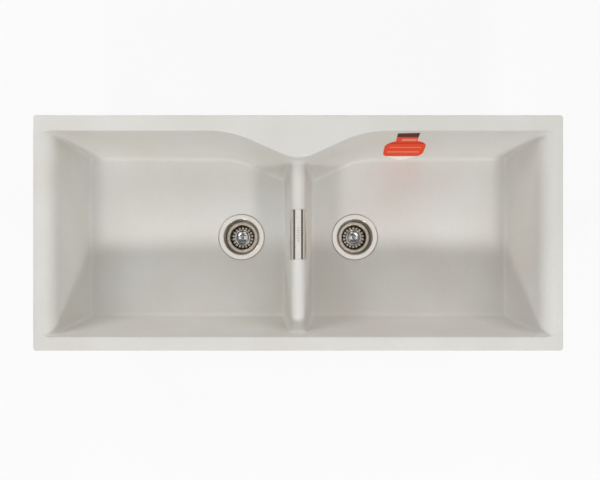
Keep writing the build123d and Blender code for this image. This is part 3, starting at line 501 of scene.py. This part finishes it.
chrome, tree, shader = start_material("bright_chrome")
smear = noise(tree, object_place(tree), SMEAR_CLOUD, 4.0)
tree.links.new(ramp(tree, smear, (0.35, CHROME_SMEAR), (0.6, CHROME)), shader.inputs["Base Color"])
shader.inputs["Metallic"].default_value = 1.0
tree.links.new(spread(tree, smear, *CHROME_ROUGHNESS), shader.inputs["Roughness"])
dress(chrome, "left_knob", "right_knob")

# Overflow. A black moulded box screwed up into the hollow of the divider, a bent pipe to the
# left waste, and gripped caps on both inlets.
BLACK_PLASTIC = srgb(44, 44, 45)
BLACK_PLASTIC_WORN = srgb(62, 62, 62)
BLACK_PLASTIC_FLOW = 60.0
BLACK_PLASTIC_ROUGHNESS = (0.36, 0.54)
BLACK_PLASTIC_GRAIN = 1100.0
BLACK_PLASTIC_GRAIN_DEPTH = 0.00005
BLACK_PLASTIC_GRAIN_STRENGTH = 0.4

black_plastic, tree, shader = start_material("black_polypropylene")
place = object_place(tree)
flow = noise(tree, place, BLACK_PLASTIC_FLOW, 4.0)
flow_colour = ramp(tree, flow, (0.4, BLACK_PLASTIC), (0.75, BLACK_PLASTIC_WORN))
tree.links.new(flow_colour, shader.inputs["Base Color"])
tree.links.new(spread(tree, flow, *BLACK_PLASTIC_ROUGHNESS), shader.inputs["Roughness"])
grain = noise(tree, place, BLACK_PLASTIC_GRAIN)
roughen(tree, shader, grain, BLACK_PLASTIC_GRAIN_DEPTH, BLACK_PLASTIC_GRAIN_STRENGTH)
dress(black_plastic, "overflow_collector", "overflow_pipe_nut", "overflow_blanking_cap")
dress(zinc, "collector_screws")

# Overflow saddle. Polished stainless sheet bent over the divider and hooked into the overflow
# slots, with its grain along the sheet.
LINES = 2600.0
LINE_STRETCH = (1.0, 0.03, 1.0)
LINE_DEPTH = 0.000004
LINE_STRENGTH = 0.3
SADDLE_ROUGHNESS = (0.05, 0.12)

saddle_steel, tree, shader = start_material("saddle_steel")
stretch = add_node(tree, "ShaderNodeMapping", {"Vector": object_place(tree), "Scale": LINE_STRETCH})
lines = noise(tree, stretch.outputs["Vector"], LINES, 3.0)
tree.links.new(ramp(tree, lines, (0.3, STEEL_SHADE), (0.65, STEEL)), shader.inputs["Base Color"])
shader.inputs["Metallic"].default_value = 1.0
tree.links.new(spread(tree, lines, *SADDLE_ROUGHNESS), shader.inputs["Roughness"])
roughen(tree, shader, lines, LINE_DEPTH, LINE_STRENGTH)
dress(saddle_steel, "overflow_cover")

# Label. Printed paper with a grip tab, stuck down the back wall of the right bowl to be peeled
# off once the sink is fitted, with plain rows where the lettering would be.
LABEL_RED = srgb(250, 84, 52)
LABEL_DEEP = srgb(230, 64, 40)
LABEL_DARK = srgb(92, 62, 54)
LABEL_WHITE = srgb(254, 249, 245)
LABEL_ROW = srgb(252, 158, 134)
LABEL_FIBRE = srgb(238, 236, 232)
FIBRE = 900.0
FIBRE_DEPTH = 0.00002
FIBRE_STRENGTH = 0.3
LABEL_ROUGHNESS = (0.66, 0.82)
LABEL_SHEEN = 0.12
FOOT_END = 0.1
SHADE_BAND = (0.6, 0.66)
TAB_START = 0.855
ROW_BANDS = ((0.26, 0.3), (0.45, 0.48))
ROW_SHARE = 0.76
PATCH_BANDS = ((0.71, 0.79),)
PATCH_SHARE = 0.34

label_low, label_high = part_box("peel_off_label")
label_middle = (label_low + label_high) / 2
label_paper, tree, shader = start_material("printed_paper")
place = object_place(tree)
axes = add_node(tree, "ShaderNodeSeparateXYZ", {"Vector": place})
share = spread(tree, axes.outputs["Z"], 0.0, 1.0, label_low.z, label_high.z)
ground = ramp(
    tree,
    share,
    (0.0, LABEL_WHITE),
    (FOOT_END, LABEL_RED),
    (SHADE_BAND[0], LABEL_DEEP),
    (SHADE_BAND[1], LABEL_RED),
    (TAB_START, LABEL_DARK),
    interpolation="CONSTANT",
)
black = srgb(0, 0, 0)
aside = add_node(tree, "ShaderNodeMath", {0: axes.outputs["X"], 1: label_middle.x}, operation="SUBTRACT")
aside = add_node(tree, "ShaderNodeMath", {0: aside.outputs["Value"]}, operation="ABSOLUTE").outputs["Value"]
label_half = label_high.x - label_middle.x
for bands, band_share in ((ROW_BANDS, ROW_SHARE), (PATCH_BANDS, PATCH_SHARE)):
    stops = [stop for start, end in bands for stop in ((start, WHITE), (end, black))]
    rows = ramp(tree, share, (0.0, black), *stops, interpolation="CONSTANT")
    within = add_node(tree, "ShaderNodeMath", {0: aside, 1: band_share * label_half}, operation="LESS_THAN")
    inputs = {0: rows, 1: within.outputs["Value"]}
    printed = add_node(tree, "ShaderNodeMath", inputs, operation="MULTIPLY").outputs["Value"]
    ground = tint(tree, ground, LABEL_ROW, printed, "MIX")
fibre = noise(tree, place, FIBRE, 3.0)
paper = tint(tree, ground, ramp(tree, fibre, (0.3, LABEL_FIBRE), (0.7, WHITE)), 1.0)
tree.links.new(paper, shader.inputs["Base Color"])
shader.inputs["Specular IOR Level"].default_value = LABEL_SHEEN
tree.links.new(spread(tree, fibre, *LABEL_ROUGHNESS), shader.inputs["Roughness"])
roughen(tree, shader, fibre, FIBRE_DEPTH, FIBRE_STRENGTH)
dress(label_paper, "peel_off_label")

# Studio. A plain floor and a round backdrop that show white, a wide soft panel overhead, two
# lamps in front, two soft fills behind, and a camera straight above the sink.
STAGE_WHITE = srgb(245, 245, 245)
STAGE_ROUGHNESS = 0.8
SHADOW_SHARE = 0.15
AMBIENT = 0.15
FLOOR_HALF = 30.0
FLOOR_GAP = 0.0005
BACKDROP_R = 28.0
BACKDROP_HEIGHT = 5.6
BACKDROP_SIDES = 96
PANEL_RISE = 2.2
PANEL_WIDTH = 4.2
PANEL_LENGTH = 1.3
PANEL_LEVEL = 0.77
LAMP_REACH = 2.65
LAMP_RISE = 37.5
LAMP_TURN = 26.0
LAMP_SIZE = 0.35
LEFT_POWER = 18.0
RIGHT_POWER = 20.5
LEFT_FILL_PLACE = (-1.25, 1.2, 1.1)
LEFT_FILL_SIZE = 1.0
LEFT_FILL_POWER = 12.5
RIGHT_FILL_PLACE = (1.5, 1.7, 1.5)
RIGHT_FILL_SIZE = 1.8
RIGHT_FILL_POWER = 20.0
CAMERA_Y = -0.0573
CAMERA_RISE = 1.381
SENSOR_WIDTH = 36.0
FOCAL_PIXELS = 641.0
PICTURE_WIDTH = 600.0
PICTURE_HEIGHT = 480.0
AXIS_PIXEL = (298.15, 259.5)


def seen_as_white(tree):
    """1 for rays that look at the studio directly or in a reflection, and 0 for its light."""
    path = add_node(tree, "ShaderNodeLightPath")
    inputs = {0: path.outputs["Is Camera Ray"], 1: path.outputs["Is Glossy Ray"]}
    either = add_node(tree, "ShaderNodeMath", inputs, operation="MAXIMUM").outputs["Value"]
    inputs = {0: either, 1: path.outputs["Is Transmission Ray"]}
    return add_node(tree, "ShaderNodeMath", inputs, operation="MAXIMUM").outputs["Value"]


def stage_paint(name, shadow_share):
    """White paint that shows white and keeps a share of the shadows, and is clear from behind."""
    paint, tree, shader = start_material(name)
    shader.inputs["Base Color"].default_value = STAGE_WHITE
    shader.inputs["Roughness"].default_value = STAGE_ROUGHNESS
    glow = add_node(tree, "ShaderNodeEmission", {"Strength": 1.0})
    seen_inputs = {0: seen_as_white(tree), 1: 1.0 - shadow_share}
    seen = add_node(tree, "ShaderNodeMath", seen_inputs, operation="MULTIPLY")
    front = add_node(tree, "ShaderNodeMixShader", {"Fac": seen.outputs["Value"]})
    tree.links.new(shader.outputs["BSDF"], front.inputs[1])
    tree.links.new(glow.outputs["Emission"], front.inputs[2])
    behind = add_node(tree, "ShaderNodeNewGeometry").outputs["Backfacing"]
    whole = add_node(tree, "ShaderNodeMixShader", {"Fac": behind})
    clear = add_node(tree, "ShaderNodeBsdfTransparent")
    tree.links.new(front.outputs["Shader"], whole.inputs[1])
    tree.links.new(clear.outputs["BSDF"], whole.inputs[2])
    tree.links.new(whole.outputs["Shader"], tree.nodes["Material Output"].inputs["Surface"])
    return paint


def add_lamp(name, shape, width, length, power, place, aim):
    """A soft lamp at a place, turned to a point."""
    data = bpy.data.lights.new(name, "AREA")
    data.shape = shape
    data.size = width
    data.size_y = length
    data.energy = power
    lamp = bpy.data.objects.new(name, data)
    lamp.location = place
    lamp.rotation_euler = (Vector(aim) - Vector(place)).to_track_quat("-Z", "Y").to_euler()
    bpy.context.scene.collection.objects.link(lamp)


scene = bpy.context.scene
floor_z = cad_low.z - FLOOR_GAP
floor_mesh = bpy.data.meshes.new("floor")
build = bmesh.new()
bmesh.ops.create_grid(build, x_segments=1, y_segments=1, size=FLOOR_HALF)
bmesh.ops.translate(build, verts=build.verts, vec=(0.0, 0.0, floor_z))
build.to_mesh(floor_mesh)
build.free()
floor = bpy.data.objects.new("floor", floor_mesh)
scene.collection.objects.link(floor)
floor_mesh.materials.append(stage_paint("white_floor", SHADOW_SHARE))

backdrop_mesh = bpy.data.meshes.new("backdrop")
build = bmesh.new()
wall = {"radius1": BACKDROP_R, "radius2": BACKDROP_R, "depth": BACKDROP_HEIGHT}
bmesh.ops.create_cone(build, cap_ends=False, segments=BACKDROP_SIDES, **wall)
bmesh.ops.translate(build, verts=build.verts, vec=(0.0, 0.0, floor_z + BACKDROP_HEIGHT / 2))
bmesh.ops.reverse_faces(build, faces=build.faces)
build.to_mesh(backdrop_mesh)
build.free()
backdrop = bpy.data.objects.new("backdrop", backdrop_mesh)
scene.collection.objects.link(backdrop)
backdrop_mesh.materials.append(stage_paint("white_backdrop", 0.0))

scene.world = bpy.data.worlds.new("studio")
scene.world.use_nodes = True
tree = scene.world.node_tree
tree.nodes.clear()
sky = add_node(tree, "ShaderNodeBackground", {"Color": WHITE, "Strength": AMBIENT})
sky_output = add_node(tree, "ShaderNodeOutputWorld")
tree.links.new(sky.outputs["Background"], sky_output.inputs["Surface"])

panel_power = PANEL_LEVEL * math.pi * PANEL_WIDTH * PANEL_LENGTH
panel_place = (0.0, 0.0, cad_high.z + PANEL_RISE)
add_lamp("panel", "RECTANGLE", PANEL_WIDTH, PANEL_LENGTH, panel_power, panel_place, (0.0, 0.0, 0.0))
rise = math.radians(LAMP_RISE)
turn = math.radians(LAMP_TURN)
lamp_x = LAMP_REACH * math.cos(rise) * math.sin(turn)
lamp_y = -LAMP_REACH * math.cos(rise) * math.cos(turn)
lamp_z = LAMP_REACH * math.sin(rise)
centre = (0.0, 0.0, 0.0)
add_lamp("left_lamp", "DISK", LAMP_SIZE, LAMP_SIZE, LEFT_POWER, (-lamp_x, lamp_y, lamp_z), centre)
add_lamp("right_lamp", "DISK", LAMP_SIZE, LAMP_SIZE, RIGHT_POWER, (lamp_x, lamp_y, lamp_z), centre)
left_fill = (LEFT_FILL_SIZE, LEFT_FILL_SIZE, LEFT_FILL_POWER, LEFT_FILL_PLACE)
right_fill = (RIGHT_FILL_SIZE, RIGHT_FILL_SIZE, RIGHT_FILL_POWER, RIGHT_FILL_PLACE)
add_lamp("left_fill", "SQUARE", *left_fill, centre)
add_lamp("right_fill", "SQUARE", *right_fill, centre)

camera_data = bpy.data.cameras.new("camera")
camera_data.sensor_width = SENSOR_WIDTH
camera_data.lens = FOCAL_PIXELS * SENSOR_WIDTH / PICTURE_WIDTH
camera_data.shift_x = (PICTURE_WIDTH / 2 - AXIS_PIXEL[0]) / PICTURE_WIDTH
camera_data.shift_y = (AXIS_PIXEL[1] - PICTURE_HEIGHT / 2) / PICTURE_WIDTH
camera = bpy.data.objects.new("camera", camera_data)
camera.location = (0.0, CAMERA_Y, cad_high.z + CAMERA_RISE)
scene.collection.objects.link(camera)
scene.camera = camera
scene.view_settings.view_transform = "Standard"
